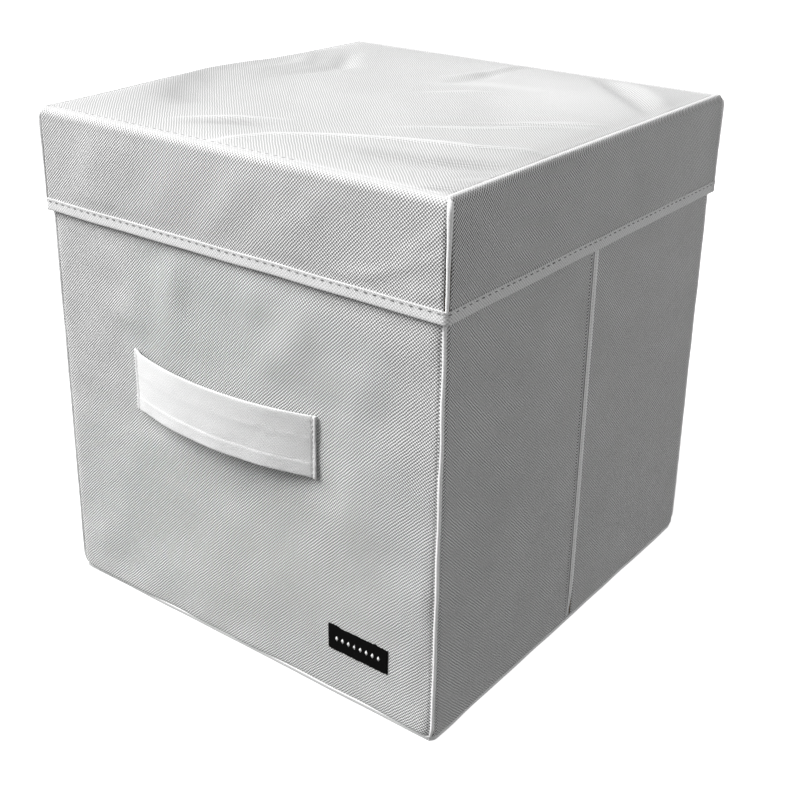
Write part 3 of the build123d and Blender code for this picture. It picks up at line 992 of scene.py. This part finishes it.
def lid_top():
    """The wrinkled top cloth, sunk into the seam all round and tucked over each corner cord."""
    edge_x, edge_y = LID_X - 2.2, LID_Y - 3.6
    xs, ys = spaced(-edge_x, edge_x, 1.5, 0.5, 4.0), spaced(-edge_y, edge_y, 1.5, 0.5, 4.0)
    x, y = grid(xs, ys)
    inset_right = (SHOULDER["right"] + 0.1 - 2.2) * np.clip(x / 40, 0, 1)
    inset_left = (SHOULDER["left"] + 0.6 - 2.0) * np.clip(-x / 40, 0, 1)
    inset_front = (SHOULDER["front"] + 0.2 - 3.6) * np.clip(-y / 40, 0, 1)
    moved_x = x - inset_right + inset_left
    moved_y = y + inset_front
    to_x, to_y = edge_x - np.abs(x), edge_y - np.abs(y)
    calm = (1 - np.exp(-((to_x / 7) ** 2))) * (1 - np.exp(-((to_y / 7) ** 2)))
    rise = left_rise(moved_y) * np.clip(-x / 60, 0, 1)
    relief = lid_relief(moved_x, moved_y)
    base = np.where(x < 0, calm * relief + (1 - calm) * rise * np.exp(-((to_x / 30) ** 2)), calm * relief)
    seam_x, seam_y = np.where(x > 0, 1.7, 0.2), np.where(y < 0, 0.9, 0.4)
    sunk = seam_x * np.exp(-((to_x / 2.2) ** 2)) + seam_y * np.exp(-((to_y / 1.1) ** 2))
    corner = np.exp(-((to_x / 5) ** 2) - (to_y / 5) ** 2)
    z = CROWN + np.maximum(base, -0.4) - np.minimum(sunk, 1.7) * (1 - corner) - 0.5 * corner
    moved_x = moved_x + np.sign(x) * 1.2 * corner
    moved_y = moved_y + np.sign(y) * 1.2 * corner
    outer = np.stack([moved_x, moved_y, z], -1)
    inner = np.stack([moved_x, moved_y, z - FABRIC], -1)
    tight = 0.75 * np.exp(-((np.minimum(to_x, to_y) / 4) ** 2))
    # The crease tones add painted highlights and painted shade to the cloth's smoothing share.
    tight = np.clip(tight + folded(moved_x, moved_y, CREASE_PAINTED_LIGHT), -2.0, 1.8)
    piece = shell("lid_top_cloth", outer, inner, -moved_x, moved_y, TOP, smooth=tight)
    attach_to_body(piece, "lid")
    declare("lid_top_fabric")


LID_FRONT_FOLDS = (
    (((58, 264), (106, 276), (154, 298)), 0.9, 4),
    (((92, 262), (126, 268), (154, 276)), 0.7, 3),
    (((100, 284), (130, 294), (154, 312)), 0.6, 4),
    (((-26, 318), (-42, 292), (-60, 268)), 0.8, 11),
    (((34, 318), (4, 292), (-18, 268)), 0.8, 12),
    (((-104, 312), (-112, 288), (-100, 266)), 0.6, 12),
    (((78, 318), (62, 298), (30, 282)), 0.6, 9),
)


def skirt_profile(radius):
    """Lift, height and outward normal from the top seam over the shoulder down to the hem."""
    arc = np.radians(np.array([0, 10, 20, 30, 42, 54, 66, 78, 90]))
    lift = np.concatenate([[-radius - 0.7, -radius - 0.3], radius * np.sin(arc) - radius])
    height = np.concatenate([[CROWN - 0.9, CROWN - 0.35], CROWN - radius + radius * np.cos(arc)])
    normal = np.concatenate([[[0.0, 1.0], [0.0, 1.0]], np.stack([np.sin(arc), np.cos(arc)], -1)])
    down = spaced(HEM_BOTTOM + 0.8, CROWN - radius - 0.6, 2.4, 0.8)[::-1]
    lift = np.concatenate([lift, np.zeros(len(down))])
    height = np.concatenate([height, down])
    return lift, height, np.concatenate([normal, np.tile((1.0, 0.0), (len(down), 1))])


def skirt(name, side, half, seed, material, folds=()):
    """One hanging panel, which rolls over the top edge to the top seam."""
    lift, height, normal = skirt_profile(SHOULDER[name])
    us = spaced(-half, half, 2.4)
    u = np.broadcast_to(us[:, None], (len(us), len(lift)))
    z = np.broadcast_to(height, u.shape)
    drop = np.clip((CROWN - z) / 14, 0, 1)
    waves = 0.45 * soft_noise(u, z * 0.6, 80, seed) + 0.16 * soft_noise(u, z * 0.7, 28, seed + 1)
    waves = waves + folded(u, z, folds)
    drop = drop * np.clip((z - HEM_TOP - 0.5) / 7, 0.3, 1)
    lip = 0.9 * bump(z, CROWN - 0.3, 0.9) * (name == "right")
    near_edge = half - np.abs(u)
    relief = np.clip(0.35 + waves, 0.0, 2.0) * drop + lip - 0.5 * bump(near_edge, 0, 0.8)
    rise = left_rise(-u) * np.exp(-((CROWN - z) / 16)) if name == "left" else 0.0
    layers = []
    for raised_by in (relief, -FABRIC):
        up = z + raised_by * normal[:, 1] + rise
        layers.append(place(side, u, up, lift + raised_by * normal[:, 0]))
    along = distances(np.diff(lift), np.diff(height))
    tight = 0.9 * np.exp(-((along / (6.3 if name == "front" else 4.4)) ** 4))
    piece = shell(f"lid_{name}_skirt_cloth", *layers, side.lean * u, CROWN - along, material, smooth=tight)
    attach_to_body(piece, "lid")
    node = f"lid_{name}_skirt"
    declare(f"{node}_fabric")


def skirt_lining(name, side, half):
    node = f"lid_{name}_skirt"
    lining_half = half - 0.5
    us = spaced(-lining_half, lining_half, 6.0, 1.0)
    box_low, box_high = cad(f"{node}_lining")
    vs = spaced(box_low[2] - 0.5, box_high[2], 6.0, 1.0)
    u, v = grid(us, vs)
    visible = place(side, u, v, -SKIRT_THICKNESS - 0.03 - 0.04 * soft_noise(u, v, 50, 131))
    hidden = place(side, u, v, 0.35 - SKIRT_THICKNESS)
    lining = shell(f"{node}_lining_cloth", visible, hidden, side.lean * u, v, LINING)
    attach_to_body(lining, "lid")
    declare(f"{node}_lining")


def lid_top_lining():
    low, high = cad("lid_top_lining")
    us, vs = spaced(low[0], high[0], 6.0, 1.0), spaced(low[1], high[1], 6.0, 1.0)
    x, y = grid(us, vs)
    z = low[2] - 0.04 * soft_noise(x, y, 60, 141)
    lower = np.stack([x, y, z], -1)
    upper = np.stack([x, y, np.full(x.shape, high[2] - 0.02)], -1)
    piece = shell("lid_top_lining_cloth", lower, upper, x, y, LINING)
    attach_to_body(piece, "lid")
    declare("lid_top_lining")


def lid_cord(end_name, side_name, side_x, side_y, seed=171):
    """A corner cord that swells upwards and turns in under the corner of the top cloth."""
    upper = [CROWN - 6.0, CROWN - 4.2, CROWN - 2.8, CROWN - 1.8, CROWN - 1.3]
    z = np.concatenate([np.arange(HEM_TOP - 3, CROWN - 8, 3.0), upper])
    share = (z - z[0]) / (z[-1] - z[0])
    turn = np.clip((z - CROWN + 6.2) / 4.9, 0, 1) ** 2
    x = side_x * (LID_CORD_X + 0.1 - 2.6 * turn + 0.12 * waver(z, 25, seed))
    y = side_y * (LID_CORD_Y + 0.1 - 3.4 * turn + 0.12 * waver(z, 22, seed + 1))
    radii = 1.0 + 0.85 * share**2.2 + 0.08 * waver(z, 10, seed + 2)
    radii[-1] *= 0.75
    base = f"lid_{end_name}_{side_name}"
    cord(f"{base}_corner_cord", "lid", x, y, z, radii, CORD, node=f"{base}_piping")


def hem():
    """The tape folded round the lid's lower edge, with its row of stitches."""
    gap = LID_HIGH[0] - 0.45 - LID_X
    points, normals, along = loop(LID_X + gap + 0.05, LID_Y + gap + 0.05, 3.2, 3.0, 7)
    depth_in = LID_X - (HALF_X + 0.6) + 0.1
    low, high = HEM_BOTTOM, HEM_TOP
    arc = np.linspace(0, math.pi, 9)[1:-1]
    half = (depth_in + 0.5) / 2
    off = [0.0, 0.45, 0.62, 0.6, 0.42, 0.42, 0.45, 0.5, 0.5]
    off += [*(0.5 - half + half * np.cos(arc)), -depth_in, -depth_in, -depth_in]
    rise = [high + 0.1, high + 0.15, high - 0.25, high - 0.8, high - 1.4, high - 2.4, high - 4.0]
    rise += [low + 2.4, low + 1.3, *(low + 1.25 - 1.25 * np.sin(arc)), low + 1.3, low + 4.0, high - 0.2]
    off, rise = np.array(off), np.array(rise)
    off_in, rise_in = inset_profile(off, rise, TAPE)
    off_in[0], rise_in[0] = off[0] - 0.02, rise[0] - 0.3
    corner = 1 - np.clip(np.abs(np.abs(normals[:, 0]) - np.abs(normals[:, 1])), 0, 1)
    sag = -0.5 * corner + 0.18 * soft_noise(points[:, 0], points[:, 1], 60, 151)
    uneven = 0.10 * soft_noise(points[:, 0], points[:, 1], 26, 152)
    layers = []
    for o, r in ((off, rise), (off_in, rise_in)):
        plan = points[:, None] + (o + uneven[:, None] * (o > 0.2))[..., None] * normals[:, None]
        layers.append(raised(plan, r + sag[:, None]))
    down = distances(np.diff(off), np.diff(rise))
    shape = layers[0].shape[:2]
    u = np.broadcast_to(along[:, None], shape)
    piece = shell("lid_hem_tape", *layers, u, np.broadcast_to(-down, shape), BINDING, ring=True)
    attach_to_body(piece, "lid")
    total = along[-1] + np.linalg.norm(points[0] - points[-1])
    declare("lid_hem_binding")
    row = []
    for s in np.arange(2.0, total - 2, STITCH_PITCH):
        out = between(s, along, normals)
        out /= np.linalg.norm(out)
        z = high - 1.7 + np.interp(s, along, sag)
        row.append(((*(between(s, along, points) + 0.5 * out), z), (-out[1], out[0], 0.0), (*out, 0.0)))
    # The stitches are real thread, but their dark tone paints the shade of the dimples they sit in.
    threads = stitches("lid_hem_stitches", row, DARK_THREAD_PAINTED_SHADE, 2.6, 0.34, 0.0)
    put(threads, "lid")


def front_seam_stitches():
    """The fine thread row behind the rolled front edge of the lid's top; its grey tone paints the shade of
    the seam groove.
    """
    u = np.arange(-LID_X + 8, LID_X / 3, STITCH_PITCH)
    places = place(LID_FRONT, u, CROWN + 0.12, -SHOULDER["front"] - 1.9)
    row = [(place_at, LID_FRONT.right, UP) for place_at in places]
    threads = stitches("lid_front_seam_stitches", row, SEAM_SHADE_THREAD, 3.4, 0.2, 0.05)
    put(threads, "lid")


lid_top()
front_seam_stitches()
lid_top_lining()
for skirt_name, side, across, seed, material, folds in (
    ("front", LID_FRONT, LID_X, 161, OUTER, LID_FRONT_FOLDS),
    ("back", LID_BACK, LID_X, 163, OUTER, ()),
    ("right", LID_RIGHT, LID_Y, 165, SIDE, ()),
    ("left", LID_LEFT, LID_Y, 167, SIDE, ()),
):
    skirt(skirt_name, side, across - SKIRT_INSET, seed, material, folds)
    skirt_lining(skirt_name, side, across - SKIRT_INSET)
for end_name, side_y in (("front", -1), ("rear", 1)):
    for side_name, side_x in SIDES:
        lid_cord(end_name, side_name, side_x, side_y)
hem()

# Boards that stay as CAD nodes.

for node_name, node in frame["nodes"].items():
    if node_name.endswith("_board"):
        node.data.materials.clear()
        node.data.materials.append(BOARD)

# Floor, light and camera, in metres.

FLOOR_SIDES = 64
FLOOR_PROFILE = ((1, 0), (4, 0), (10, 0), (12.5, 0.4), (13.7, 1.8), (14, 4), (14, 10))
FLOOR_GLOW = 0.87
WORLD_LEVEL = 0.23
# Each light: its name, place, target, size and power.
LIGHTS = (
    ("key", (-3.04, -2.64, 4.04), (0, 0, 0.2), 4.2, 607),
    ("low_fill", (1.5, 0.6, 0.42), (0.15, 0, 0.1), 0.8, 4.3),
)
CAMERA_AT = Vector((0.4854, -0.6402, 0.5))
AZIMUTH, TILT, ROLL = (math.radians(a) for a in (36.74, 21.98, 0.99))
LENS = 57.97
SHIFT = -0.1


def floor():
    """A pale floor that also glows a little, so that the shadow on it stays faint."""
    s = Shader("pale_floor")
    place_at = s.add("ShaderNodeTexCoord").outputs["Object"]
    tone = s.mix(s.noise(place_at, 3.0), grey(0.58), grey(0.60))
    for key, value in (
        ("Base Color", tone),
        ("Roughness", 0.9),
        ("Specular IOR Level", 0.0),
        ("Emission Color", (1, 1, 1, 1)),
        ("Emission Strength", FLOOR_GLOW),
    ):
        s.feed(s.bsdf.inputs[key], value)
    made = bmesh.new()
    angles = np.linspace(0, 2 * math.pi, FLOOR_SIDES, endpoint=False)
    rings = [[made.verts.new((0, 0, 0))] * FLOOR_SIDES]
    for r, z in FLOOR_PROFILE:
        rings.append([made.verts.new((r * math.cos(a), r * math.sin(a), z)) for a in angles])
    for a, b in zip(rings, rings[1:]):
        for k in range(FLOOR_SIDES):
            n = (k + 1) % FLOOR_SIDES
            made.faces.new((a[0], b[k], b[n]) if a[0] == a[1] else (a[k], b[k], b[n], a[n]))
    mesh = bpy.data.meshes.new("floor")
    made.to_mesh(mesh)
    made.free()
    mesh.shade_smooth()
    mesh.materials.append(s.material)
    stage = new_object("floor", mesh)
    stage.visible_diffuse = False


def light(name, at, target, size, power):
    data = bpy.data.lights.new(name, "AREA")
    data.shape = "DISK"
    data.size = size
    data.energy = power
    lamp = new_object(name, data)
    lamp.location = at
    lamp.rotation_mode = "QUATERNION"
    lamp.rotation_quaternion = (Vector(target) - Vector(at)).to_track_quat("-Z", "Y")


def world():
    made = bpy.data.worlds.new("studio")
    made.use_nodes = True
    made.node_tree.nodes["Background"].inputs["Color"].default_value = grey(WORLD_LEVEL)
    bpy.context.scene.world = made


def camera():
    data = bpy.data.cameras.new("camera")
    data.lens = LENS
    data.sensor_width = 36.0
    data.shift_y = SHIFT
    eye = new_object("camera", data)
    eye.location = CAMERA_AT
    ahead = Vector(
        (-math.sin(AZIMUTH) * math.cos(TILT), math.cos(AZIMUTH) * math.cos(TILT), -math.sin(TILT))
    )
    eye.rotation_mode = "QUATERNION"
    eye.rotation_quaternion = Quaternion(ahead, -ROLL) @ ahead.to_track_quat("-Z", "Y")
    bpy.context.scene.camera = eye


floor()
for row in LIGHTS:
    light(*row)
world()
camera()
bpy.context.scene.view_settings.view_transform = "Standard"
